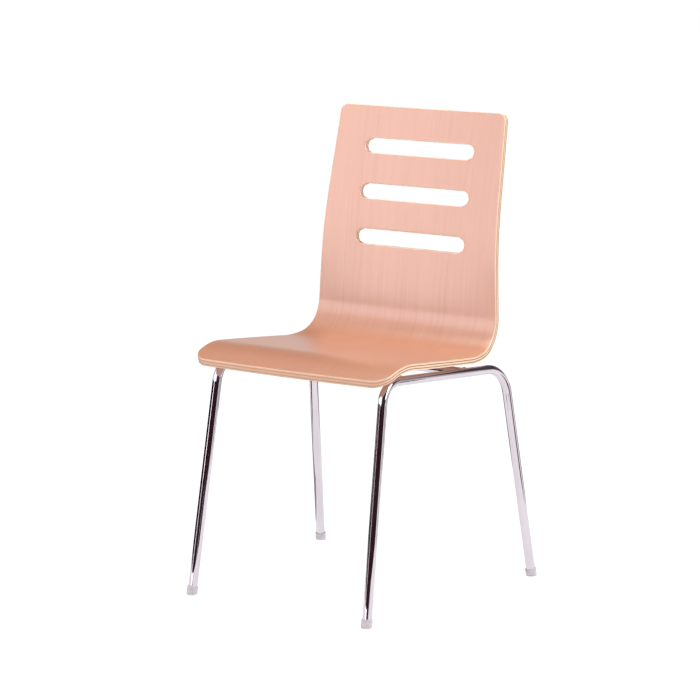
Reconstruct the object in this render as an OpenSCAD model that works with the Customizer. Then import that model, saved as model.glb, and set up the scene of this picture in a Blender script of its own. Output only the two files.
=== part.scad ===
// Stacking chair: a bent plywood shell screwed onto a chromed steel tube frame.
// The chair faces -Y, +Z is up, and the origin is on the floor midway between the four feet.
// A heading is an angle in the Y-Z plane: 0 points to the rear, 90 points up.

/* [Base] */
// Distance from the front feet to the rear feet
base_depth = 469; // [380:1:570]
// Distance between the two front feet
front_track = 387; // [320:1:470]
// Distance between the two rear feet
rear_track = 484; // [400:1:585]
// Height of the side rails above the floor, halfway along
rail_height = 411.5; // [330:0.5:500]
// Fall of the side rails towards the rear, in degrees
rail_fall = 3.4; // [0:0.1:5]
// Lean of each leg away from upright, in degrees
leg_lean = 9.3; // [4:0.1:13]
// Inward lean of the side frames, in degrees
side_lean = 2.7; // [0:0.1:6]

/* [Tubes] */
// Outer diameter of the side frame tube
tube_d = 17; // [14:0.5:25]
// Wall of the side frame tube
tube_wall = 1.5; // [1:0.1:2.5]
// Bend radius where the front leg meets the rail
front_bend_r = 40; // [32:1:60]
// Bend radius where the rail meets the rear leg
rear_bend_r = 60; // [40:1:75]
// Outer diameter of the cross tubes
cross_d = 16; // [12:0.5:20]
// Wall of the cross tubes
cross_wall = 1.5; // [1:0.1:2.5]
// Front cross tube, forward of the middle of the rail
front_cross_at = 119; // [70:1:130]
// Rear cross tube, behind the middle of the rail
rear_cross_at = 60; // [40:1:100]

/* [Shell profile] */
// Thickness of the plywood
shell_t = 11.5; // [9.5:0.5:15]
// Straight nose at the front edge
nose_run = 20.5; // [10:1:40]
// Downward slope of the nose, in degrees
nose_drop = 25; // [10:1:40]
// Radius of the front roll, at mid thickness
roll_r = 133; // [80:1:220]
// Straight seat in front of the front cross tube
seat_lead = 4.5; // [0:1:25]
// Length of the straight part of the seat
seat_run = 190.5; // [180:1:240]
// Radius of the soft bend behind the seat, at mid thickness
soft_r = 196; // [120:1:260]
// Angle of the soft bend, in degrees
soft_turn = 14.5; // [5:1:30]
// Radius of the tight bend into the back, at mid thickness
tight_r = 65; // [45:1:90]
// Straight lower back
low_back_run = 72.5; // [40:1:120]
// Lean of the lower back from upright, in degrees
low_back_lean = 2; // [0:0.5:8]
// Radius of the gentle bend up the back, at mid thickness
back_r = 760; // [500:1:1100]
// Lean of the upper back from upright, in degrees
top_back_lean = 12; // [9:0.5:18]
// Straight upper back
top_back_run = 168; // [120:1:240]
// Depth of the hollow across the back
back_hollow = 8.5; // [0:0.5:16]
// How far up the bent part of the back the hollow reaches its full depth
hollow_blend = 50; // [0:5:120]

/* [Shell outline] */
// Widest part of the seat
seat_w = 429; // [355:1:520]
// Distance from the front edge to the widest part, along the sheet
hip_at = 130; // [80:1:200]
// Width in the middle of the tight bend
waist_w = 402; // [340:1:460]
// Width at the top of the back
top_w = 366; // [320:1:440]
// Radius of the seat's front corners
front_corner_r = 30; // [15:1:60]
// Radius of the back's top corners
top_corner_r = 16; // [8:1:40]
// How far the middle of the front edge stands forward
front_bow = 3; // [0:0.5:10]

/* [Slots] */
// Number of slots through the back
slot_count = 3; // [1:1:4]
// Length of a slot
slot_w = 242; // [180:1:280]
// Height of a slot
slot_h = 29; // [18:1:36]
// Distance between slots along the back
slot_pitch = 86; // [60:1:100]
// Distance from the top edge to the middle of the first slot
slot_top = 75; // [50:1:110]

/* [Seat mounts] */
// Distance between the left and right screws
mount_pitch = 200; // [140:1:240]
// Distance from a cross tube to its screws, along the seat
screw_offset = 22; // [18:1:28]
// Width of a mount plate on each side of the pad
plate_side = 5; // [0:0.5:10]
// Length of a mount plate beyond the pad
plate_tail = 1; // [0:0.5:6]
// Length of a mount plate past the cross tube
plate_nose = 9; // [5:1:12]
// Thickness of a mount plate
plate_t = 3; // [2:0.5:4]
// Depth of the groove that seats a plate on its tube
plate_groove = 1; // [0.5:0.1:1.5]
// Side of a square seat pad
pad_w = 30; // [22:1:36]
// Height of the front seat pads
front_pad_h = 11; // [8:0.5:13]
// Height of the rear seat pads
rear_pad_h = 4.5; // [3:0.5:6]
// Corner radius of plates and pads
pad_corner_r = 4; // [2:0.5:8]
// Thread diameter of the seat screws
screw_d = 6; // [5:0.5:7]
// Diameter of the screw heads
head_d = 11; // [9:0.5:12]
// Height of the screw heads
head_h = 3.5; // [3:0.5:5]
// Width across flats of the hex socket
socket_w = 4; // [3:0.5:5]
// Depth of the hex socket
socket_h = 2; // [1:0.5:3]
// How far a screw stops short of the end of its insert
screw_short = 1; // [0:0.5:3]
// Outer diameter of a washer
washer_d = 14; // [12:0.5:16]
// Thickness of a washer
washer_t = 1.2; // [0.8:0.1:2]
// Outer diameter of a threaded insert
insert_d = 9.5; // [8.5:0.5:12]
// Length of a threaded insert
insert_h = 8.5; // [6:0.5:9]
// Clearance of the screw holes, on the diameter
hole_play = 0.6; // [0.2:0.1:1]

/* [Glides] */
// Wall of a glide around the tube
glide_wall = 1.5; // [1:0.1:4]
// Height of a glide up the leg
glide_h = 15; // [10:0.5:25]
// Plastic under the end of the tube, along the leg
glide_base = 5; // [4:0.5:8]

/* [Hidden] */
$fn = 64;

wood = [0.87, 0.66, 0.54];
chrome = [0.80, 0.79, 0.82];
zinc = [0.66, 0.67, 0.69];
black = [0.13, 0.13, 0.14];
milky = [0.93, 0.93, 0.91];
brass = [0.80, 0.66, 0.36];

past = 1;          // how far a cutter runs past what it cuts
bend_swell = 0.05; // growth of a tube's radius in its bends
bend_lap = 1;      // how far a straight run reaches into a bend
fore = -1;         // front end of the chair
aft = 1;           // rear end of the chair
left = -1;
right = 1;

// ---- side frame geometry, in its own plane: u runs to the rear, v runs up ----
splay = atan2((rear_track - front_track) / 2, base_depth);
side_len = norm([base_depth, (rear_track - front_track) / 2]);
side_x = (front_track + rear_track) / 4;
rail_v = rail_height / cos(side_lean);

// where the straight lines of leg and rail would cross
function corner_v(end) = (rail_v - end * side_len / 2 * tan(rail_fall))
    / (1 - end * tan(leg_lean) * tan(rail_fall));
function corner_u(end) = end * (side_len / 2 - corner_v(end) * tan(leg_lean));

front_turn = 90 + rail_fall - leg_lean;
rear_turn = 90 - rail_fall - leg_lean;
front_setback = front_bend_r * tan(front_turn / 2);
rear_setback = rear_bend_r * tan(rear_turn / 2);
rail_len = norm([corner_u(aft) - corner_u(fore), corner_v(aft) - corner_v(fore)]);
front_leg_run = corner_v(fore) / cos(leg_lean) - front_setback - glide_base;
rear_leg_run = corner_v(aft) / cos(leg_lean) - rear_setback - glide_base;

// each step of a tube is [straight run, bend radius, bend angle]
side_steps = [
    [front_leg_run, front_bend_r, front_turn],
    [rail_len - front_setback - rear_setback, rear_bend_r, rear_turn],
    [rear_leg_run, 0, 0]
];

// a point of the right side's plane, in the chair's frame
function side_point(u, v) = [
    side_x + u * sin(splay) - v * sin(side_lean) * cos(splay),
    u * cos(splay) + v * sin(side_lean) * sin(splay),
    v * cos(side_lean)
];
function rail_point(u) = side_point(u, rail_v - u * tan(rail_fall));

front_cross = rail_point(-front_cross_at);
rear_cross = rail_point(rear_cross_at);
function cross_point(end) = end == fore ? front_cross : rear_cross;

// ---- seat mounts: heights above a cross tube's axis, square to the seat ----
plate_low = cross_d / 2 - plate_groove;
plate_top = plate_low + plate_t;
function pad_h(end) = end == fore ? front_pad_h : rear_pad_h;
function seat_low(end) = plate_top + pad_h(end);

// the seat rests on all four pads, which sets its slope
cross_gap = rear_cross - front_cross;
cross_span = norm([cross_gap.y, cross_gap.z]);
seat_slope = atan2(-cross_gap.z, cross_gap.y) + asin((front_pad_h - rear_pad_h) / cross_span);
seat_back = [cos(seat_slope), -sin(seat_slope)];
seat_up = [sin(seat_slope), cos(seat_slope)];

// ---- shell profile at mid thickness, from the front edge to the top ----
tight_turn = 90 - low_back_lean + seat_slope - soft_turn;
back_turn = top_back_lean - low_back_lean;
function arc_len(r, turn) = r * turn * PI / 180;

// each step is [length, change of heading]
profile = [
    [nose_run, 0],
    [arc_len(roll_r, nose_drop + seat_slope), -nose_drop - seat_slope],
    [seat_run, 0],
    [arc_len(soft_r, soft_turn), soft_turn],
    [arc_len(tight_r, tight_turn), tight_turn],
    [low_back_run, 0],
    [arc_len(back_r, back_turn), -back_turn],
    [top_back_run, 0]
];
function total(list, n) = n == 0 ? 0 : list[n - 1][0] + total(list, n - 1);
sheet_len = total(profile, len(profile));
seat_start = total(profile, 2);
waist_at = (total(profile, 4) + total(profile, 5)) / 2;
bend_end = total(profile, 5);
hollow_end = total(profile, 6) + hollow_blend;

// [y, z, heading] after travelling s from the state p along the profile
function travel(p, s, k = 0) =
    let (len_k = profile[k][0], turn = profile[k][1], d = min(s, len_k))
    let (h = p[2] + turn * d / len_k, bow = turn == 0 ? 0 : len_k / (turn * PI / 180))
    let (q = turn == 0
        ? [p[0] + d * cos(h), p[1] + d * sin(h), h]
        : [p[0] + bow * (sin(h) - sin(p[2])), p[1] - bow * (cos(h) - cos(p[2])), h])
    s <= len_k || k == len(profile) - 1 ? q : travel(q, s - len_k, k + 1);

seat_pin = [front_cross.y, front_cross.z]
    + (seat_low(fore) + shell_t / 2) * seat_up - seat_lead * seat_back;
from_edge = travel([0, 0, nose_drop], seat_start);
edge = [seat_pin[0] - from_edge[0], seat_pin[1] - from_edge[1], nose_drop];

// half the width of the sheet at s, without and with the rounded corners
function plain_half(s) = s < waist_at
    ? seat_w / 2 - (seat_w - waist_w) / 2 * pow((s - hip_at) / (waist_at - hip_at), 2)
    : waist_w / 2 - (waist_w - top_w) / 2 * (s - waist_at) / (sheet_len - waist_at);
function corner_cut(d, r) = d < r ? r - sqrt(r * r - (r - d) * (r - d)) : 0;
function half_width(s) = plain_half(s)
    - corner_cut(s, front_corner_r) - corner_cut(sheet_len - s, top_corner_r);

// the hollow grows smoothly up the lower back, and is nothing at the side edges
function smooth(t) = let (c = min(max(t, 0), 1)) c * c * (3 - 2 * c);
function hollow(s, x) = back_hollow * smooth((s - bend_end) / (hollow_end - bend_end))
    * (1 - pow(x / plain_half(s), 2));

// a point of the sheet: s along it, x across it, face is 1 on the sitter's side and -1 behind
function sheet_point(s, x, face) =
    let (nose = max(0, 1 - s / nose_run), bow = front_bow * nose * pow(x / plain_half(0), 2))
    let (p = travel(edge, max(s + bow, 0)))
    let (off = face * shell_t / 2 - hollow(s, x), slip = face < 0 ? shell_t * tan(nose_drop) * nose : 0)
    [x, p[0] - off * sin(p[2]) - slip * cos(p[2]), p[1] + off * cos(p[2]) - slip * sin(p[2])];

// stations along the sheet: close together at the corners and in the bends
corner_rows = 6;
function corner_stations(r) = [for (i = [0 : corner_rows]) r * (1 - cos(90 * i / corner_rows))];
function spread(a, b, n) = [for (i = [1 : n]) a + (b - a) * i / n];
front_rows = corner_stations(front_corner_r);
top_rows = [for (i = [corner_rows : -1 : 0]) sheet_len - corner_stations(top_corner_r)[i]];
stations = concat(
    front_rows,
    spread(front_corner_r, seat_start, 7),
    spread(seat_start, total(profile, 3), 5),
    spread(total(profile, 3), total(profile, 4), 4),
    spread(total(profile, 4), bend_end, 14),
    spread(bend_end, total(profile, 6), 5),
    spread(total(profile, 6), total(profile, 7), 6),
    spread(total(profile, 7), sheet_len - top_corner_r, 4),
    [for (i = [1 : corner_rows]) top_rows[i]]
);
columns = 14;

// ---- shared shapes ----

// a round bar along +Z that bends towards +Y, one step after another; each run reaches a
// little way into the bends at its ends, where the bar is slightly swollen by the bending
module bent_bar(steps, d, k = 0) {
    run = steps[k][0];
    r = steps[k][1];
    turn = steps[k][2];
    lead = k == 0 ? 0 : bend_lap;
    tail = turn == 0 ? 0 : bend_lap;
    translate([0, 0, -lead]) cylinder(h = run + lead + tail, d = d);
    if (turn > 0) translate([0, r, run]) {
        rotate([90, 0, -90]) rotate_extrude(angle = turn)
            translate([r, 0]) circle(d = d + 2 * bend_swell);
        rotate([-turn, 0, 0]) translate([0, -r, 0]) bent_bar(steps, d, k + 1);
    }
}

// puts what is drawn for the right-hand side on either side
module on_side(side) {
    mirror([side == left ? 1 : 0, 0, 0]) children();
}

// the plane of a side frame, with Y along u and Z along v
module in_side_plane(side) {
    on_side(side) translate([side_x, 0, 0]) rotate([0, 0, -splay]) rotate([0, -side_lean, 0]) children();
}

// the axis of a leg, with its foot on the floor and +Z up the leg
module on_leg(side, end) {
    in_side_plane(side) translate([0, end * side_len / 2, 0]) rotate([end * leg_lean, 0, 0]) children();
}

// the side tube as a solid bar, longer by extra at both feet
module side_bar(side, d, extra = 0) {
    steps = [
        [side_steps[0][0] + extra, side_steps[0][1], side_steps[0][2]],
        side_steps[1],
        [side_steps[2][0] + extra, 0, 0]
    ];
    on_leg(side, fore) translate([0, 0, glide_base - extra]) bent_bar(steps, d);
}

module across(end, d) {
    p = cross_point(end);
    translate([-p.x, p.y, p.z]) rotate([0, 90, 0]) cylinder(h = 2 * p.x, d = d);
}

// a cross tube's axis under a mount, with +Z square to the seat and +Y along the seat
module at_mount(side, end) {
    p = cross_point(end);
    translate([side * mount_pitch / 2, p.y, p.z]) rotate([-seat_slope, 0, 0]) children();
}

module at_screw(side, end) {
    at_mount(side, end) translate([0, -end * screw_offset, 0]) children();
}

module rounded_plate(w, l, h, r) {
    linear_extrude(h) {
        square([w - 2 * r, l], center = true);
        square([w, l - 2 * r], center = true);
        for (x = [-1, 1], y = [-1, 1]) translate([x * (w / 2 - r), y * (l / 2 - r)]) circle(r);
    }
}

// ---- parts ----

module sheet() {
    rows = len(stations);
    cols = columns + 1;
    grid = [for (face = [1, -1], s = stations, j = [0 : columns])
        sheet_point(s, half_width(s) * (2 * j / columns - 1), face)];
    half = rows * cols;
    front = [for (i = [0 : rows - 2], j = [0 : columns - 1])
        let (a = i * cols + j) [[a, a + cols, a + 1], [a + 1, a + cols, a + cols + 1]]];
    sides = [for (i = [0 : rows - 2], j = [0, columns])
        let (a = i * cols + j, b = a + cols, c = a + half, d = b + half)
        j == 0 ? [[a, c, b], [b, c, d]] : [[a, b, c], [b, d, c]]];
    ends = [for (j = [0 : columns - 1], i = [0, rows - 1])
        let (a = i * cols + j, b = a + 1, c = a + half, d = b + half)
        i == 0 ? [[a, b, c], [b, d, c]] : [[a, c, b], [b, c, d]]];
    faces = concat(
        [for (q = front, t = q) t],
        [for (q = front, t = q) [t[2] + half, t[1] + half, t[0] + half]],
        [for (q = sides, t = q) t],
        [for (q = ends, t = q) t]
    );
    polyhedron(grid, faces);
}

// cuts a slot with round ends square through the sheet at s
module slot_cutter(s) {
    p = travel(edge, s);
    reach = shell_t / 2 + 5 * past;
    translate([0, p[0], p[1]]) rotate([p[2], 0, 0])
        translate([0, 0, -reach - back_hollow]) linear_extrude(2 * reach + back_hollow) {
            square([slot_w - slot_h, slot_h], center = true);
            for (x = [-1, 1]) translate([x * (slot_w - slot_h) / 2, 0]) circle(d = slot_h);
        }
}

module seat_shell() {
    color(wood) difference() {
        sheet();
        for (i = [0 : slot_count - 1]) slot_cutter(sheet_len - slot_top - i * slot_pitch);
        for (side = [left, right], end = [fore, aft]) at_screw(side, end)
            translate([0, 0, seat_low(end) - past]) cylinder(h = insert_h + past, d = insert_d);
    }
}

module side_frame(side) {
    color(chrome) difference() {
        side_bar(side, tube_d);
        side_bar(side, tube_d - 2 * tube_wall, past);
    }
}

module cross_tube(end) {
    color(chrome) difference() {
        across(end, cross_d);
        across(end, cross_d - 2 * cross_wall);
        for (side = [left, right]) side_bar(side, tube_d);
    }
}

module mount_plate(side, end) {
    length = plate_nose + screw_offset + pad_w / 2 + plate_tail;
    color(chrome) difference() {
        at_mount(side, end) translate([0, -end * (length / 2 - plate_nose), plate_low])
            rounded_plate(pad_w + 2 * plate_side, length, plate_t, pad_corner_r);
        across(end, cross_d);
        at_screw(side, end) translate([0, 0, plate_low - past])
            cylinder(h = plate_t + 2 * past, d = screw_d + hole_play);
    }
}

module seat_pad(side, end) {
    color(black) at_screw(side, end) translate([0, 0, plate_top]) difference() {
        rounded_plate(pad_w, pad_w, pad_h(end), pad_corner_r);
        translate([0, 0, -past]) cylinder(h = pad_h(end) + 2 * past, d = screw_d + hole_play);
    }
}

module seat_screws(end) {
    head_low = plate_low - washer_t - head_h;
    reach = seat_low(end) + insert_h - screw_short;
    color(zinc) for (side = [left, right]) at_screw(side, end) difference() {
        union() {
            translate([0, 0, head_low]) cylinder(h = head_h, d = head_d);
            translate([0, 0, head_low]) cylinder(h = reach - head_low, d = screw_d);
        }
        translate([0, 0, head_low - past])
            cylinder(h = socket_h + past, d = socket_w / cos(30), $fn = 6);
    }
}

module screw_washers() {
    color(zinc) for (side = [left, right], end = [fore, aft]) at_screw(side, end)
        translate([0, 0, plate_low - washer_t]) difference() {
            cylinder(h = washer_t, d = washer_d);
            translate([0, 0, -past]) cylinder(h = washer_t + 2 * past, d = screw_d + hole_play);
        }
}

module threaded_inserts() {
    color(brass) for (side = [left, right], end = [fore, aft]) at_screw(side, end)
        translate([0, 0, seat_low(end)]) difference() {
            cylinder(h = insert_h, d = insert_d);
            translate([0, 0, -past]) cylinder(h = insert_h + 2 * past, d = screw_d);
        }
}

module glide(side, end) {
    outer_d = tube_d + 2 * glide_wall;
    color(milky) difference() {
        on_leg(side, end) translate([0, 0, -glide_base]) cylinder(h = glide_h + glide_base, d = outer_d);
        on_leg(side, end) translate([0, 0, glide_base]) cylinder(h = glide_h, d = tube_d);
        translate([0, 0, -outer_d]) cube([2 * rear_track, 2 * base_depth, 2 * outer_d], center = true);
    }
}

seat_shell();
side_frame(left);  // left_side_frame
side_frame(right);  // right_side_frame
cross_tube(fore);  // front_cross_tube
cross_tube(aft);  // rear_cross_tube
mount_plate(left, fore);  // front_left_mount_plate
mount_plate(right, fore);  // front_right_mount_plate
mount_plate(left, aft);  // rear_left_mount_plate
mount_plate(right, aft);  // rear_right_mount_plate
seat_pad(left, fore);  // front_left_seat_pad
seat_pad(right, fore);  // front_right_seat_pad
seat_pad(left, aft);  // rear_left_seat_pad
seat_pad(right, aft);  // rear_right_seat_pad
seat_screws(fore);  // front_seat_screws
seat_screws(aft);  // rear_seat_screws
screw_washers();
threaded_inserts();
glide(left, fore);  // front_left_glide
glide(right, fore);  // front_right_glide
glide(left, aft);  // rear_left_glide
glide(right, aft);  // rear_right_glide
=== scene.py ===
import math

import bmesh
import bpy
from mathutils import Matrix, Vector
from mathutils.geometry import delaunay_2d_cdt


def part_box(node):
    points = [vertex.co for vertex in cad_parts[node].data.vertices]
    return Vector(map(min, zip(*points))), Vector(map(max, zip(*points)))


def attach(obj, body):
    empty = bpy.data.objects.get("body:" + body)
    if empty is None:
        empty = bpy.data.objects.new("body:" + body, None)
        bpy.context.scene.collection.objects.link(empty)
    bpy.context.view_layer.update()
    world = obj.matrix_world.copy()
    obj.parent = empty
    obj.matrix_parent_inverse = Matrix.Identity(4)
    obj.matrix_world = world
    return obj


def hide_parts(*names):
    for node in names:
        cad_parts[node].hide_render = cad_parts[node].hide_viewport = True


# Stacking chair: a bent beech plywood shell on a chromed tube frame.
# The frame from CAD holds every place. The shell is made again here with a fine surface.
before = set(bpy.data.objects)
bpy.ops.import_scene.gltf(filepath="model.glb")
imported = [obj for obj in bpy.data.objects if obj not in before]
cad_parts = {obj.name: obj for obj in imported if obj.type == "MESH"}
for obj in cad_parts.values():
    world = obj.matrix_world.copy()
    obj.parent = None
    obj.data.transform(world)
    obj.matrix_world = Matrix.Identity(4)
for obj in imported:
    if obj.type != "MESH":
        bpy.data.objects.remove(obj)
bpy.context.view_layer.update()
print("frame loaded,", len(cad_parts), "parts")

mm = 0.001


class Wire:
    # one output of a node, so that shader maths can be written as sums
    def __init__(self, finish, socket):
        self.finish = finish
        self.socket = socket

    def maths(self, operation, first, second):
        return self.finish.node("Math", {"operation": operation}, {0: first, 1: second})

    def __add__(self, other):
        return self.maths("ADD", self, other)

    def __radd__(self, other):
        return self.maths("ADD", other, self)

    def __sub__(self, other):
        return self.maths("SUBTRACT", self, other)

    def __rsub__(self, other):
        return self.maths("SUBTRACT", other, self)

    def __mul__(self, other):
        return self.maths("MULTIPLY", self, other)

    def __rmul__(self, other):
        return self.maths("MULTIPLY", other, self)


def setStops(ramp, stops):
    while len(ramp.elements) < len(stops):
        ramp.elements.new(1.0)
    for element, (place, colour) in zip(ramp.elements, stops):
        element.position = place
        element.color = colour


class Finish:
    # the nodes of one material, or of the sky
    def __init__(self, owner):
        owner.use_nodes = True
        self.owner = owner
        self.tree = owner.node_tree
        self.tree.nodes.clear()

    def node(self, kind, settings=None, values=None, output=0):
        made = self.tree.nodes.new("ShaderNode" + kind)
        for key, value in (settings or {}).items():
            if key == "stops":
                setStops(made.color_ramp, value)
            else:
                setattr(made, key, value)
        for key, value in (values or {}).items():
            if isinstance(value, Wire):
                self.tree.links.new(value.socket, made.inputs[key])
            else:
                made.inputs[key].default_value = value
        return Wire(self, made.outputs[output]) if len(made.outputs) else made

    def mix(self, factor, first, second, mode="MIX"):
        settings = {"data_type": "RGBA", "blend_type": mode, "clamp_factor": True}
        return self.node("Mix", settings, {0: factor, 6: first, 7: second}, 2)

    def ramp(self, factor, low, high):
        # 0 below low, 1 above high, smooth between
        values = {"Value": factor, "From Min": low, "From Max": high}
        return self.node("MapRange", {"interpolation_type": "SMOOTHSTEP"}, values)

    def noise(self, place, scale, detail=2.0, rough=0.5, output=0):
        values = {"Vector": place, "Scale": scale, "Detail": detail, "Roughness": rough}
        return self.node("TexNoise", {"noise_dimensions": "3D"}, values, output)

    def ownPlace(self):
        # the place on the piece itself, in metres
        return self.node("TexCoord", None, None, 3)

    def stretched(self, place, factors):
        return self.node("VectorMath", {"operation": "MULTIPLY"}, {0: place, 1: factors})

    def shader(self, **values):
        named = {key.replace("_", " "): value for key, value in values.items()}
        surface = self.node("BsdfPrincipled", None, named)
        self.node("OutputMaterial", None, {"Surface": surface})
        return self.owner


def newFinish(name):
    return Finish(bpy.data.materials.new(name))


def linear(red, green, blue):
    # a colour given as it looks on a screen, 0 to 255, turned into light
    def one(value):
        part = value / 255
        return part / 12.92 if part <= 0.04045 else ((part + 0.055) / 1.055) ** 2.4
    return (one(red), one(green), one(blue), 1.0)


beech = {
    # veneer tones from the darkest streak to the palest
    "tones": [(0.28, linear(187, 120, 85)), (0.45, linear(204, 139, 102)),
              (0.60, linear(209, 145, 108)), (0.78, linear(219, 160, 126))],
    "fleck": linear(146, 90, 62),
    "plyLight": linear(252, 224, 192),
    "plyWarm": linear(226, 166, 134),
    "plyDark": linear(160, 98, 66),
    "plies": 5,
    "gloss": 1.0, "glossRough": 0.33, "glossIndex": 1.9,
    # how fine each kind of grain is, across the sheet and along it
    "drift": (6.0, 3.0, 0.0), "driftReach": 0.012,  # the reach in metres
    "bands": (24.0, 1.2, 0.0), "lines": (230.0, 3.6, 0.0),
    "threads": (900.0, 26.0, 0.0), "flecks": (1500.0, 190.0, 0.0),
}


def beechFace():
    finish = newFinish("beechFace")
    place = finish.node("Attribute", {"attribute_name": "sheetPlace"}, None, 1)
    # the grain wanders a few millimetres sideways on its way along the sheet
    drift = finish.noise(finish.stretched(place, beech["drift"]), 1.0, 2.0, 0.5, output=1)
    drifted = finish.node("VectorMath", {"operation": "MULTIPLY_ADD"},
                          {0: drift, 1: (beech["driftReach"], 0.0, 0.0), 2: place})
    bands = finish.noise(finish.stretched(drifted, beech["bands"]), 1.0, 3.0, 0.55)
    lines = finish.noise(finish.stretched(drifted, beech["lines"]), 1.0, 3.0, 0.6)
    threads = finish.noise(finish.stretched(drifted, beech["threads"]), 1.0, 2.0, 0.6)
    # short darker flecks along the grain
    spots = finish.noise(finish.stretched(drifted, beech["flecks"]), 1.0, 1.0, 0.5)
    flecks = finish.ramp(spots, 0.64, 0.76)
    tone = bands * 0.30 + lines * 0.45 + threads * 0.25
    veneer = finish.node("ValToRGB", {"stops": beech["tones"]}, {0: tone})
    colour = finish.mix(flecks * 0.30, veneer, beech["fleck"])
    pores = finish.node("Bump", None, {"Strength": 0.06, "Distance": 0.0002, "Height": threads})
    dull = 0.30 + threads * 0.08 + flecks * 0.1
    return finish.shader(Base_Color=colour, Roughness=dull, Normal=pores,
                         Coat_Weight=beech["gloss"], Coat_Roughness=beech["glossRough"],
                         Coat_IOR=beech["glossIndex"], IOR=1.5)


def beechEdge():
    finish = newFinish("beechEdge")
    place = finish.node("Attribute", {"attribute_name": "sheetPlace"}, None, 1)
    depth = finish.node("Attribute", {"attribute_name": "sheetDepth"}, None, 2)
    wander = finish.noise(finish.stretched(place, (60.0, 60.0, 60.0)), 1.0, 2.0, 0.5)
    # every other ply shows its end grain, darker and more open
    layer = (depth + wander * 0.02) * (beech["plies"] * 0.5)
    part = finish.node("Math", {"operation": "FRACT"}, {0: layer})
    across = finish.ramp(part, 0.58, 0.66) - finish.ramp(part, 0.90, 0.98)
    # along the front edge, which lies in shade, the plies are painted toward one warm tone: painted shade
    # darkens the light plies, and light and dark plies differ less
    along = finish.node("SeparateXYZ", None, {0: place}, 1)
    front = 1.0 - finish.ramp(along, 0.004, 0.03)
    grit = finish.noise(finish.stretched(place, (1600.0, 1600.0, 1600.0)), 1.0, 2.0, 0.6)
    streak = finish.noise(finish.stretched(place, (160.0, 160.0, 2200.0)), 1.0, 2.0, 0.6)
    pale = finish.mix(finish.ramp(streak, 0.35, 0.7) * 0.3, beech["plyLight"], beech["plyWarm"])
    # painted shade: the light plies turn darker and warmer towards the front edge
    light = finish.mix(front * 0.5, pale, beech["plyWarm"])
    brown = finish.mix(finish.ramp(grit, 0.4, 0.65) * 0.25, beech["plyDark"], beech["fleck"])
    # the dark plies are blended toward the same warm tone of the painted shade at the front edge
    dark = finish.mix(front * 0.8, brown, beech["plyWarm"])
    colour = finish.mix(across, light, dark)
    height = grit * 0.5 + across * -0.5
    bump = finish.node("Bump", None, {"Strength": 0.15, "Distance": 0.0003, "Height": height})
    return finish.shader(Base_Color=colour, Roughness=0.42 + across * 0.12, Normal=bump,
                         Coat_Weight=0.2, Coat_Roughness=0.3)


chrome = {
    # roughness and tint of each kind of chromed piece
    "tubeChrome": (0.05, linear(212, 205, 211)),
    "plateChrome": (0.14, linear(206, 202, 208)),
    "weldChrome": (0.12, linear(204, 198, 204)),
    "handled": linear(228, 223, 227),
}


def brightChrome(name):
    roughness, tint = chrome[name]
    finish = newFinish(name)
    place = finish.ownPlace()
    ripple = finish.noise(finish.stretched(place, (26.0, 26.0, 5.0)), 1.0, 2.0, 0.5)
    hairs = finish.noise(finish.stretched(place, (2400.0, 2400.0, 90.0)), 1.0, 2.0, 0.5)
    handled = finish.noise(place, 9.0, 3.0, 0.6)
    bump = finish.node("Bump", None, {"Strength": 0.05, "Distance": 0.001, "Height": ripple})
    colour = finish.mix(finish.ramp(handled, 0.4, 0.7) * 0.35, tint, chrome["handled"])
    dull = roughness + finish.ramp(hairs, 0.55, 0.75) * 0.05 + finish.ramp(handled, 0.5, 0.75) * 0.04
    return finish.shader(Base_Color=colour, Metallic=1.0, Roughness=dull, Normal=bump)


zincColours = {"dull": linear(176, 178, 182), "clean": linear(206, 206, 204)}


def satinZinc():
    finish = newFinish("satinZinc")
    place = finish.ownPlace()
    bloom = finish.noise(place, 240.0, 4.0, 0.6)
    colour = finish.mix(finish.ramp(bloom, 0.35, 0.7), zincColours["dull"], zincColours["clean"])
    return finish.shader(Base_Color=colour, Metallic=1.0, Roughness=0.28 + bloom * 0.2)


brassColours = {"dull": linear(190, 150, 84), "clean": linear(214, 182, 118)}


def insertBrass():
    finish = newFinish("insertBrass")
    place = finish.ownPlace()
    bloom = finish.noise(place, 300.0, 3.0, 0.6)
    colour = finish.mix(bloom, brassColours["dull"], brassColours["clean"])
    return finish.shader(Base_Color=colour, Metallic=1.0, Roughness=0.3 + bloom * 0.2)


rubberColours = {"clean": linear(30, 30, 32), "dusty": linear(66, 64, 64)}


def blackRubber():
    finish = newFinish("blackRubber")
    place = finish.ownPlace()
    grain = finish.noise(place, 1400.0, 3.0, 0.6)
    dust = finish.noise(place, 60.0, 4.0, 0.6)
    colour = finish.mix(finish.ramp(dust, 0.5, 0.8) * 0.5, rubberColours["clean"], rubberColours["dusty"])
    bump = finish.node("Bump", None, {"Strength": 0.2, "Distance": 0.0002, "Height": grain})
    return finish.shader(Base_Color=colour, Roughness=0.62 + grain * 0.2, Normal=bump)


milkyColours = {
    "dim": linear(208, 199, 206), "bright": linear(224, 217, 221), "scuffed": linear(180, 170, 176),
}


def milkyPlastic():
    finish = newFinish("milkyPlastic")
    place = finish.ownPlace()
    cloud = finish.noise(place, 150.0, 3.0, 0.5)
    scuffs = finish.noise(finish.stretched(place, (500.0, 500.0, 1500.0)), 1.0, 3.0, 0.6)
    colour = finish.mix(finish.ramp(cloud, 0.3, 0.7), milkyColours["dim"], milkyColours["bright"])
    worn = finish.mix(finish.ramp(scuffs, 0.6, 0.75) * 0.4, colour, milkyColours["scuffed"])
    bump = finish.node("Bump", None, {"Strength": 0.1, "Distance": 0.0002, "Height": scuffs})
    return finish.shader(Base_Color=worn, Roughness=0.35 + scuffs * 0.15, Normal=bump,
                         Subsurface_Weight=0.3, Subsurface_Radius=(0.004, 0.004, 0.004))


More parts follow.
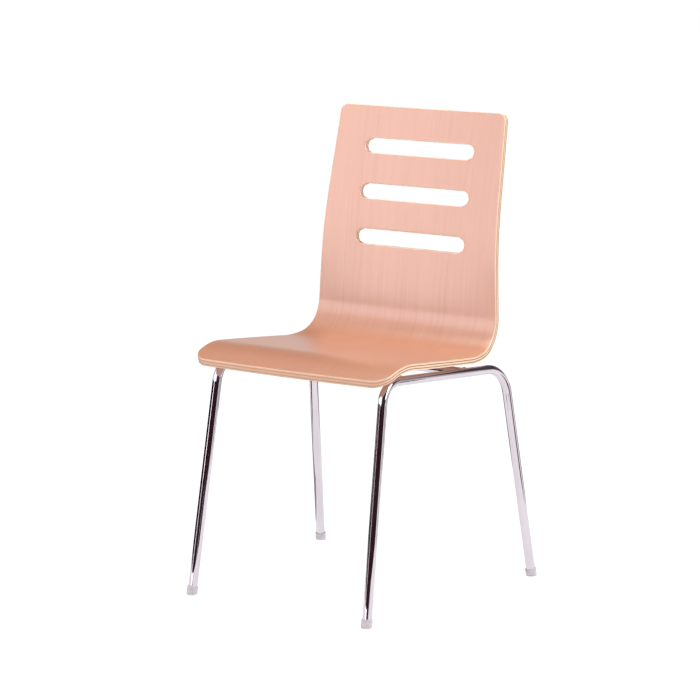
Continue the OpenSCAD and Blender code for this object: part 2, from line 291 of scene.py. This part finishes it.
# lengths in millimetres, angles in degrees
shell = {
    "thick": 11.5,
    "seatFall": 5.5,
    "noseRun": 20.5, "noseDrop": 25.0,
    "rollRadius": 133.0,
    "seatRun": 190.5,
    "softRadius": 196.0, "softTurn": 14.5,
    "tightRadius": 65.0,
    "lowBackRun": 72.5, "lowBackLean": 2.0,
    "backRadius": 760.0, "topBackLean": 12.0,
    "topBackRun": 168.0,
    "hollow": 8.5, "hollowBlend": 50.0,
    "seatWidth": 429.0, "hipAt": 130.0, "waistWidth": 402.0, "topWidth": 366.0,
    "frontCorner": 30.0, "topCorner": 16.0, "frontBow": 3.0,
    "slots": 3, "slotWidth": 242.0, "slotHeight": 29.0, "slotPitch": 86.0, "slotTop": 75.0,
    "edgeRadius": 1.3,
    # how finely the surface is cut
    "edgeSteps": 4, "edgeRows": 7, "cornerSteps": 12, "slotSteps": 20,
    "outlineStep": 4.0, "gridAlong": 5.0, "gridAcross": 8.0,
}


def bendLength(radius, turn):
    return math.radians(turn) * radius


tightTurn = 90 - shell["lowBackLean"] + shell["seatFall"] - shell["softTurn"]
backTurn = shell["topBackLean"] - shell["lowBackLean"]
rollTurn = shell["noseDrop"] + shell["seatFall"]
# each step along the sheet is a length and the change of heading over it
profile = [
    (shell["noseRun"], 0.0),
    (bendLength(shell["rollRadius"], rollTurn), -rollTurn),
    (shell["seatRun"], 0.0),
    (bendLength(shell["softRadius"], shell["softTurn"]), shell["softTurn"]),
    (bendLength(shell["tightRadius"], tightTurn), tightTurn),
    (shell["lowBackRun"], 0.0),
    (bendLength(shell["backRadius"], backTurn), -backTurn),
    (shell["topBackRun"], 0.0),
]
stepEnds = [sum(length for length, _ in profile[:count + 1]) for count in range(len(profile))]
sheetLength = stepEnds[-1]
waistAt = (stepEnds[3] + stepEnds[4]) / 2
hollowStart = stepEnds[4]
hollowEnd = stepEnds[5] + shell["hollowBlend"]


def travel(along):
    # where the middle of the sheet is after that length, and its heading
    y, z, heading = 0.0, 0.0, math.radians(shell["noseDrop"])
    left = along
    for count, (length, turn) in enumerate(profile):
        last = count == len(profile) - 1
        run = left if last else min(left, length)
        angle = math.radians(turn) * run / length
        if turn == 0:
            y += run * math.cos(heading)
            z += run * math.sin(heading)
        else:
            radius = length / math.radians(turn)
            y += radius * (math.sin(heading + angle) - math.sin(heading))
            z -= radius * (math.cos(heading + angle) - math.cos(heading))
        heading += angle
        left -= run
        if left <= 0:
            break
    return y, z, heading


def plainHalf(along):
    if along < waistAt:
        share = (along - shell["hipAt"]) / (waistAt - shell["hipAt"])
        return shell["seatWidth"] / 2 - (shell["seatWidth"] - shell["waistWidth"]) / 2 * share ** 2
    share = (along - waistAt) / (sheetLength - waistAt)
    return shell["waistWidth"] / 2 - (shell["waistWidth"] - shell["topWidth"]) / 2 * share


def cornerCut(depth, radius):
    return radius - math.sqrt(radius ** 2 - (radius - depth) ** 2) if depth < radius else 0.0


def halfWidth(along):
    front = cornerCut(along, shell["frontCorner"])
    top = cornerCut(sheetLength - along, shell["topCorner"])
    return plainHalf(along) - front - top


def hollowAt(along, x):
    share = min(max((along - hollowStart) / (hollowEnd - hollowStart), 0.0), 1.0)
    smooth = share * share * (3 - 2 * share)
    return shell["hollow"] * smooth * (1 - (x / plainHalf(along)) ** 2)


def sheetPoint(along, x, depth):
    # depth is 0.5 on the sitter's side and -0.5 behind
    nose = max(0.0, 1 - along / shell["noseRun"])
    bow = shell["frontBow"] * nose * (x / plainHalf(0)) ** 2
    y, z, heading = travel(max(along + bow, 0.0))
    off = depth * shell["thick"] - hollowAt(along, x)
    slip = shell["thick"] * math.tan(math.radians(shell["noseDrop"])) * nose * (0.5 - depth)
    y -= off * math.sin(heading) + slip * math.cos(heading)
    z += off * math.cos(heading) - slip * math.sin(heading)
    return x, y, z


def steps(low, high, size):
    count = max(1, round((high - low) / size))
    return [low + (high - low) * k / count for k in range(count)]


def cornerDepths(radius):
    count = shell["cornerSteps"]
    return [radius * (1 - math.cos(math.radians(90 * k / count))) for k in range(count + 1)]


def outlineLoop():
    # once round the sheet, laid flat: x across and length along it
    front = cornerDepths(shell["frontCorner"])
    top = [sheetLength - depth for depth in reversed(cornerDepths(shell["topCorner"]))]
    sides = front + steps(front[-1], top[0], shell["outlineStep"])[1:] + top
    loop = [(x, 0.0) for x in steps(-halfWidth(0), halfWidth(0), shell["outlineStep"])]
    loop += [(halfWidth(along), along) for along in sides]
    across = steps(halfWidth(sheetLength), -halfWidth(sheetLength), -shell["outlineStep"])
    loop += [(x, sheetLength) for x in across[1:]]
    loop += [(-halfWidth(along), along) for along in reversed(sides)][:-1]
    return loop


def slotMiddles():
    return [sheetLength - shell["slotTop"] - k * shell["slotPitch"] for k in range(shell["slots"])]


def slotLoop(middle):
    # clockwise, so that the wood is on the left all the way round
    radius = shell["slotHeight"] / 2
    reach = shell["slotWidth"] / 2 - radius
    loop = [(x, middle + radius) for x in steps(-reach, reach, shell["outlineStep"])]
    turns = [math.radians(90 - 180 * k / shell["slotSteps"]) for k in range(shell["slotSteps"])]
    loop += [(reach + radius * math.cos(t), middle + radius * math.sin(t)) for t in turns]
    loop += [(-x, middle - radius) for x in steps(-reach, reach, shell["outlineStep"])]
    loop += [(-reach - radius * math.cos(t), middle - radius * math.sin(t)) for t in turns]
    return loop


def inwards(loop):
    # unit directions into the wood, square to the loop
    found = []
    for k, point in enumerate(loop):
        before = Vector(loop[k - 1])
        after = Vector(loop[(k + 1) % len(loop)])
        edge = (after - before).normalized()
        found.append(Vector((-edge.y, edge.x)))
    return found


def inSlot(x, along, margin):
    radius = shell["slotHeight"] / 2
    reach = shell["slotWidth"] / 2 - radius
    for middle in slotMiddles():
        sideways = max(abs(x) - reach, 0.0)
        if math.hypot(sideways, along - middle) < radius + margin:
            return True
    return False


def inSheet(x, along, margin):
    if not margin < along < sheetLength - margin:
        return False
    return abs(x) < halfWidth(along) - margin


def edgeSection():
    # (how far into the wood, depth) from the sitter's face round to the back
    radius = shell["edgeRadius"]
    half = shell["thick"] / 2
    bends = [math.radians(90 * k / shell["edgeSteps"]) for k in range(shell["edgeSteps"] + 1)]
    upper = [(radius * (1 - math.sin(t)), half - radius * (1 - math.cos(t))) for t in bends]
    flat = half - radius
    rows = [(0.0, flat - 2 * flat * k / shell["edgeRows"]) for k in range(1, shell["edgeRows"])]
    lower = [(inset, -off) for inset, off in reversed(upper)]
    return [(inset, off / shell["thick"]) for inset, off in upper + rows + lower]


def makeShell():
    loops = [outlineLoop()] + [slotLoop(middle) for middle in slotMiddles()]
    section = edgeSection()
    places = []  # (x, along, depth) of every vertex
    faces = []
    kinds = []
    insideRings = []
    for loop in loops:
        directions = inwards(loop)
        rings = []
        for inset, depth in section:
            ring = []
            for point, direction in zip(loop, directions):
                ring.append(len(places))
                moved = Vector(point) + direction * inset
                places.append((moved.x, moved.y, depth))
            rings.append(ring)
        insideRings.append((rings[0], rings[-1]))
        for upper, lower in zip(rings, rings[1:]):
            for k in range(len(loop)):
                after = (k + 1) % len(loop)
                faces.append((upper[k], lower[k], lower[after], upper[after]))
                kinds.append(1)

    # both faces share one flat net of triangles between the rings
    net = [Vector(places[index][:2]) for pair in insideRings for index in pair[0]]
    upperIndex = [index for pair in insideRings for index in pair[0]]
    lowerIndex = [index for pair in insideRings for index in pair[1]]
    edges = []
    start = 0
    for loop in loops:
        count = len(loop)
        edges += [(start + k, start + (k + 1) % count) for k in range(count)]
        start += count
    margin = 0.6 * shell["gridAlong"] + shell["edgeRadius"]
    for along in steps(0, sheetLength, shell["gridAlong"]):
        wide = int(plainHalf(along) / shell["gridAcross"])
        for k in range(-wide, wide + 1):
            x = k * shell["gridAcross"]
            if inSheet(x, along, margin) and not inSlot(x, along, margin):
                net.append(Vector((x, along)))
                upperIndex.append(len(places))
                places.append((x, along, 0.5))
                lowerIndex.append(len(places))
                places.append((x, along, -0.5))
    flat, _, triangles, sources, _, _ = delaunay_2d_cdt(net, edges, [], 1, 1e-5)
    lookup = [source[0] for source in sources]
    for triangle in triangles:
        middle = sum((flat[k] for k in triangle), Vector((0.0, 0.0))) / 3
        if inSlot(middle.x, middle.y, 0.0):
            continue
        corners = [lookup[k] for k in triangle]
        faces.append(tuple(upperIndex[k] for k in corners))
        faces.append(tuple(lowerIndex[k] for k in reversed(corners)))
        kinds += [0, 0]

    points = [Vector(sheetPoint(along, x, depth)) * mm for x, along, depth in places]
    # the shell stands where the CAD shell does
    low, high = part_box("seat_shell")
    ownFront = min(point.y for point in points)
    ownTop = max(point.z for point in points)
    shift = Vector((0.0, low.y - ownFront, high.z - ownTop))
    mesh = bpy.data.meshes.new("beechShell")
    mesh.from_pydata([point + shift for point in points], [], faces)
    mesh.polygons.foreach_set("material_index", kinds)
    mesh.polygons.foreach_set("use_smooth", [True] * len(faces))
    sheetPlace = mesh.attributes.new("sheetPlace", "FLOAT_VECTOR", "POINT")
    thick = shell["thick"]
    flatList = [value * mm for x, along, depth in places for value in (x, along, depth * thick)]
    sheetPlace.data.foreach_set("vector", flatList)
    sheetDepth = mesh.attributes.new("sheetDepth", "FLOAT", "POINT")
    sheetDepth.data.foreach_set("value", [depth + 0.5 for _, _, depth in places])
    mesh.validate()
    made = bpy.data.objects.new("beechShell", mesh)
    bpy.context.scene.collection.objects.link(made)
    made.data.materials.append(beechFace())
    made.data.materials.append(beechEdge())
    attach(made, "root")
    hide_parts("seat_shell")


makeShell()
print("shell made")


easing = {
    # how much each kind of part is rounded, in millimetres
    "plate": 0.5, "pad": 0.9, "glide": 0.6, "screws": 0.35, "washers": 0.25,
    "segments": 3,
    # the angles between faces that count as flat, sharp and smooth, in degrees
    "flat": 0.5, "sharp": 35, "smooth": 40,
}


def flatMeshOf(node):
    # the CAD node's own shape, with the flat faces whole again
    work = bmesh.new()
    work.from_mesh(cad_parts[node].data)
    bmesh.ops.remove_doubles(work, verts=work.verts, dist=0.000002)
    flat = math.radians(easing["flat"])
    bmesh.ops.dissolve_limit(work, angle_limit=flat, verts=work.verts, edges=work.edges)
    return work


def easedPart(node, name, kind, material):
    # the same part with its sharp edges rounded
    work = flatMeshOf(node)
    limit = math.radians(easing["sharp"])
    sharp = [edge for edge in work.edges if edge.is_manifold and edge.calc_face_angle() > limit]
    bmesh.ops.bevel(work, geom=sharp, offset=easing[kind] * mm, offset_type="OFFSET",
                    segments=easing["segments"], profile=0.5, affect="EDGES", clamp_overlap=True)
    mesh = bpy.data.meshes.new(name)
    work.to_mesh(mesh)
    work.free()
    made = bpy.data.objects.new(name, mesh)
    bpy.context.scene.collection.objects.link(made)
    mesh.materials.append(material)
    mesh.polygons.foreach_set("material_index", [0] * len(mesh.polygons))
    mesh.polygons.foreach_set("use_smooth", [True] * len(mesh.polygons))
    mesh.set_sharp_from_angle(angle=math.radians(easing["smooth"]))
    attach(made, "root")
    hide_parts(node)


# lengths in millimetres, angles in degrees
weld = {
    "bead": 1.7, "ripple": 0.22, "rippleLength": 2.4, "tail": 0.3,
    "plateBead": 1.2, "plateInset": 4.0,
    "sides": 10, "railSteps": 72, "plateStep": 0.6,
    "tube": 17.0, "cross": 16.0, "groove": 1.0,
    "railSplay": 5.904, "railFall": 3.4, "sideLean": 2.7, "seatFall": 5.504,
    "mountPitch": 200.0, "plateWidth": 40.0,
}


def makeBead(name, path, radius, closed, material):
    # a rippled bead along the points of path, in millimetres
    sides = weld["sides"]
    lengths = [0.0]
    for before, after in zip(path, path[1:]):
        lengths.append(lengths[-1] + (after - before).length)
    points = []
    for k, point in enumerate(path):
        before = path[k - 1] if k or closed else path[k]
        after = path[(k + 1) % len(path)] if closed or k + 1 < len(path) else path[k]
        along = (after - before).normalized()
        across = Vector((0, 1, 0)) if abs(along.x) > 0.9 else Vector((1, 0, 0))
        side = along.cross(across).normalized()
        up = along.cross(side)
        swell = radius * (1 + weld["ripple"] * math.sin(math.tau * lengths[k] / weld["rippleLength"]))
        if not closed and k in (0, len(path) - 1):
            swell = radius * weld["tail"]
        for j in range(sides):
            turn = math.tau * j / sides
            points.append((point + side * swell * math.cos(turn) + up * swell * math.sin(turn)) * mm)
    count = len(path)
    faces = []
    for k in range(count if closed else count - 1):
        here, there = k * sides, (k + 1) % count * sides
        for j in range(sides):
            after = (j + 1) % sides
            faces.append((here + j, here + after, there + after, there + j))
    if not closed:
        faces.append(tuple(reversed(range(sides))))
        faces.append(tuple(range((count - 1) * sides, count * sides)))
    mesh = bpy.data.meshes.new(name)
    mesh.from_pydata(points, [], faces)
    mesh.materials.append(material)
    mesh.polygons.foreach_set("use_smooth", [True] * len(faces))
    work = bmesh.new()
    work.from_mesh(mesh)
    bmesh.ops.recalc_face_normals(work, faces=work.faces)
    work.to_mesh(mesh)
    work.free()
    made = bpy.data.objects.new(name, mesh)
    bpy.context.scene.collection.objects.link(made)
    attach(made, "root")


def crossAxis(end):
    # the middle of the cross tube, and how far out its axis meets the rail's axis
    low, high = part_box(end + "_cross_tube")
    middle = (low + high) / 2 / mm
    coped = math.sqrt((weld["tube"] / 2) ** 2 - (weld["cross"] / 2) ** 2)
    return middle, high.x / mm + coped


def makeRailWeld(end, side, material):
    middle, reach = crossAxis(end)
    sign = 1 if side == "right" else -1
    splay, fall, lean = (math.radians(weld[key]) for key in ("railSplay", "railFall", "sideLean"))
    rail = Vector((sign * (math.sin(splay) + math.tan(fall) * math.sin(lean) * math.cos(splay)),
                   math.cos(splay), -math.tan(fall) * math.cos(lean))).normalized()
    centre = Vector((sign * reach, middle.y, middle.z))
    inwardsX = Vector((-sign, 0, 0))
    path = []
    for k in range(weld["railSteps"]):
        turn = math.tau * k / weld["railSteps"]
        out = Vector((0, math.cos(turn), math.sin(turn))) * weld["cross"] / 2
        # along the cross tube's surface until it meets the rail's
        a = inwardsX - rail * inwardsX.dot(rail)
        b = out - rail * out.dot(rail)
        gap = a.dot(b) ** 2 - a.dot(a) * (b.dot(b) - (weld["tube"] / 2) ** 2)
        run = (-a.dot(b) + math.sqrt(max(gap, 0.0))) / a.dot(a)
        path.append(centre + out + inwardsX * (run + weld["bead"] * 0.3))
    makeBead("weld_" + end + "_" + side, path, weld["bead"], True, material)


def makePlateWelds(end, side, material):
    middle, _ = crossAxis(end)
    sign = 1 if side == "right" else -1
    fall = math.radians(weld["seatFall"])
    back = Vector((0, math.cos(fall), -math.sin(fall)))
    up = Vector((0, math.sin(fall), math.cos(fall)))
    radius = weld["cross"] / 2
    height = radius - weld["groove"]
    edge = math.sqrt(radius ** 2 - height ** 2) + weld["plateBead"] * 0.7
    half = weld["plateWidth"] / 2 - weld["plateInset"]
    for label, way in (("fore", -1), ("aft", 1)):
        start = Vector((sign * weld["mountPitch"] / 2, middle.y, middle.z))
        start += back * way * edge + up * (height - weld["plateBead"] * 0.35)
        path = [start + Vector((x, 0, 0)) for x in steps(-half, half, weld["plateStep"])]
        makeBead("plate_weld_" + label + "_" + end + "_" + side, path, weld["plateBead"], False, material)


def paint(names, material):
    for name in names:
        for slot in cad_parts[name].material_slots:
            slot.material = material


corners = [end + "_" + side for end in ("front", "rear") for side in ("left", "right")]
tubes = ["left_side_frame", "right_side_frame", "front_cross_tube", "rear_cross_tube"]
paint(tubes, brightChrome("tubeChrome"))
paint(["threaded_inserts"], insertBrass())
plateChrome = brightChrome("plateChrome")
rubber = blackRubber()
milky = milkyPlastic()
zinc = satinZinc()
for corner in corners:
    easedPart(corner + "_mount_plate", corner + "_plate", "plate", plateChrome)
    easedPart(corner + "_seat_pad", corner + "_pad", "pad", rubber)
    easedPart(corner + "_glide", corner + "_foot", "glide", milky)
for end in ("front", "rear"):
    easedPart(end + "_seat_screws", end + "_screws", "screws", zinc)
easedPart("screw_washers", "washers", "washers", zinc)
print("small parts eased")

weldChrome = brightChrome("weldChrome")
for end in ("front", "rear"):
    for side in ("left", "right"):
        makeRailWeld(end, side, weldChrome)
        makePlateWelds(end, side, weldChrome)
print("finishes set")


studio = {
    "azimuth": 35.162, "elevation": 10.276, "distance": 5.0946,
    "target": Vector((0.0432, -0.0709, 0.4519)),
    "lens": 146.31, "sensor": 36.0,
    "floorSize": 90.0, "floorGlow": 0.98,
    "wallAway": 40.0, "wallHigh": 30.0,
    "skyPale": (0.69, 0.67, 0.70, 1.0), "skyDark": (0.045, 0.034, 0.042, 1.0),
    "skyHigh": (0.34, 0.31, 0.34, 1.0),
    # curved cards round the chair: angles from the front, then metres
    "cards": [
        {"name": "leftCard", "turn": (-90, -38), "away": 0.5, "high": (0.045, 0.42),
         "light": (0.020, 0.008, 0.016)},
        {"name": "frontCard", "turn": (-35, 3.5), "away": 0.5, "high": (0.045, 0.42),
         "light": (0.030, 0.012, 0.016)},
        {"name": "rightCard", "turn": (6.5, 40), "away": 0.5, "high": (0.045, 0.42),
         "light": (0.038, 0.015, 0.018)},
        {"name": "farRightCard", "turn": (36, 84), "away": 1.0, "high": (0.08, 0.43),
         "light": (0.040, 0.016, 0.018)},
        {"name": "sideCard", "turn": (102, 124), "away": 1.0, "high": (0.0, 0.30),
         "light": (0.16, 0.10, 0.10)},
        {"name": "backCard", "turn": (132, 158), "away": 1.0, "high": (0.44, 0.80),
         "light": (0.10, 0.065, 0.075)},
        {"name": "backLowCard", "turn": (150, 184), "away": 1.0, "high": (0.02, 0.34),
         "light": (0.14, 0.085, 0.085)},
        {"name": "glareCard", "turn": (-78, 12), "away": 3.2, "high": (0.06, 0.95),
         "light": (2.45, 2.3, 2.4)},
        {"name": "upperGlareCard", "turn": (-78, 12), "away": 3.2, "high": (0.95, 2.4),
         "light": (1.7, 1.66, 1.9)},
        {"name": "highGlareCard", "turn": (-90, 20), "away": 3.2, "high": (2.4, 4.6),
         "light": (1.1, 1.04, 1.12)},
        {"name": "rearCard", "turn": (196, 236), "away": 1.0, "high": (0.0, 0.30),
         "light": (0.34, 0.32, 0.35)},
    ],
    # flat cards on the floor, between x and y limits in metres
    "floorCards": [
        {"name": "leftFloorCard", "x": (-1.2, -0.35), "y": (0.0, 1.0), "light": (0.42, 0.39, 0.42)},
    ],
    "cardStep": 5, "cardDim": 0.85, "cardLift": 0.002,
    "lamps": [
        {"name": "keyLamp", "place": (-1.55, -2.35, 1.55), "aim": (0, 0, 0.65),
         "size": (0.66, 2.6), "power": 11.5, "colour": (1.0, 0.97, 1.0)},
        {"name": "sideLamp", "place": (3.2, 0.4, 1.8), "aim": (0, 0, 0.4),
         "size": (1.2, 2.4), "power": 44, "colour": (1.0, 1.0, 1.0)},
        {"name": "topLamp", "place": (0.2, -0.4, 3.6), "aim": (0, 0, 0),
         "size": (3.0, 3.0), "power": 108, "colour": (1.0, 1.0, 1.0)},
    ],
}


def makeSheet(name, points, faces, finished):
    mesh = bpy.data.meshes.new(name)
    mesh.from_pydata(points, [], faces)
    mesh.materials.append(finished)
    made = bpy.data.objects.new(name, mesh)
    bpy.context.scene.collection.objects.link(made)
    return made


def glowing(name, dim, bright, strength, base=(0.0, 0.0, 0.0, 1.0)):
    finish = newFinish(name)
    place = finish.ownPlace()
    cloth = finish.noise(place, 40.0, 2.0, 0.5)
    colour = finish.mix(cloth, dim, bright)
    return finish.shader(Base_Color=base, Roughness=0.8, Specular_IOR_Level=0.0,
                         Emission_Color=colour, Emission_Strength=strength)


def makeFloor():
    half = studio["floorSize"] / 2
    corner = [(-half, -half, 0), (half, -half, 0), (half, half, 0), (-half, half, 0)]
    pale = glowing("paleFloor", linear(253, 253, 254), linear(255, 255, 255), studio["floorGlow"],
                   linear(112, 111, 112))
    makeSheet("studioFloor", corner, [(0, 1, 2, 3)], pale)


def ringPoints(turn, away, high):
    count = max(2, round((turn[1] - turn[0]) / studio["cardStep"]))
    points = []
    for k in range(count + 1):
        angle = math.radians(turn[0] + (turn[1] - turn[0]) * k / count)
        x, y = away * math.sin(angle), -away * math.cos(angle)
        points += [(x, y, high[0]), (x, y, high[1])]
    return points, [(2 * k, 2 * k + 2, 2 * k + 3, 2 * k + 1) for k in range(count)]


def makeWall():
    # a white wall all round, far off, that lights nothing
    points, faces = ringPoints((0, 360), studio["wallAway"], (-1.0, studio["wallHigh"]))
    white = glowing("paleWall", linear(254, 254, 254), linear(255, 255, 255), 1.0)
    wall = makeSheet("studioWall", points, faces, white)
    wall.visible_diffuse = False
    wall.visible_glossy = False
    wall.visible_shadow = False


def onlyInShine(card):
    # seen only in what shines
    card.visible_camera = False
    card.visible_diffuse = False
    card.visible_shadow = False


def cardFinish(card):
    dim = tuple(studio["cardDim"] * part for part in card["light"])
    return glowing(card["name"], (*dim, 1.0), (*card["light"], 1.0), 1.0)


def makeCards():
    for card in studio["cards"]:
        points, faces = ringPoints(card["turn"], card["away"], card["high"])
        onlyInShine(makeSheet(card["name"], points, faces, cardFinish(card)))
    for card in studio["floorCards"]:
        (west, east), (south, north) = card["x"], card["y"]
        lift = studio["cardLift"]
        points = [(west, south, lift), (east, south, lift), (east, north, lift), (west, north, lift)]
        onlyInShine(makeSheet(card["name"], points, [(0, 1, 2, 3)], cardFinish(card)))


def makeSky():
    # a pale studio behind the chair, dark towards the camera
    world = bpy.data.worlds.new("studioSky")
    bpy.context.scene.world = world
    sky = Finish(world)
    place = sky.node("TexCoord", None, None, 0)
    azimuth = math.radians(studio["azimuth"])
    behind = (-math.sin(azimuth), math.cos(azimuth), 0.0)
    away = sky.node("VectorMath", {"operation": "DOT_PRODUCT"}, {0: place, 1: behind}, 1)
    height = sky.node("SeparateXYZ", None, {0: place}, 2)
    pale = sky.ramp(away, -0.25, 0.25) * (1.0 - sky.ramp(height, 0.0, 0.48))
    upper = sky.mix(sky.ramp(height, 0.45, 0.85), studio["skyDark"], studio["skyHigh"])
    colour = sky.mix(pale, upper, studio["skyPale"])
    light = sky.node("Background", None, {"Color": colour, "Strength": 1.0})
    sky.node("OutputWorld", None, {"Surface": light})


def makeLamps():
    for lamp in studio["lamps"]:
        data = bpy.data.lights.new(lamp["name"], "AREA")
        data.shape = "RECTANGLE"
        data.size, data.size_y = lamp["size"]
        data.energy = lamp["power"]
        data.color = lamp["colour"]
        made = bpy.data.objects.new(lamp["name"], data)
        made.location = lamp["place"]
        facing = Vector(lamp["aim"]) - Vector(lamp["place"])
        made.rotation_euler = facing.to_track_quat("-Z", "Y").to_euler()
        bpy.context.scene.collection.objects.link(made)


def makeCamera():
    azimuth = math.radians(studio["azimuth"])
    elevation = math.radians(studio["elevation"])
    back = Vector((math.sin(azimuth) * math.cos(elevation), -math.cos(azimuth) * math.cos(elevation),
                   math.sin(elevation)))
    data = bpy.data.cameras.new("studioCamera")
    data.lens = studio["lens"]
    data.sensor_width = studio["sensor"]
    camera = bpy.data.objects.new("studioCamera", data)
    camera.location = studio["target"] + back * studio["distance"]
    camera.rotation_euler = back.to_track_quat("Z", "Y").to_euler()
    bpy.context.scene.collection.objects.link(camera)
    bpy.context.scene.camera = camera


makeFloor()
makeWall()
makeSky()
makeCards()
makeLamps()
makeCamera()
bpy.context.scene.view_settings.view_transform = "Standard"
print("studio ready")
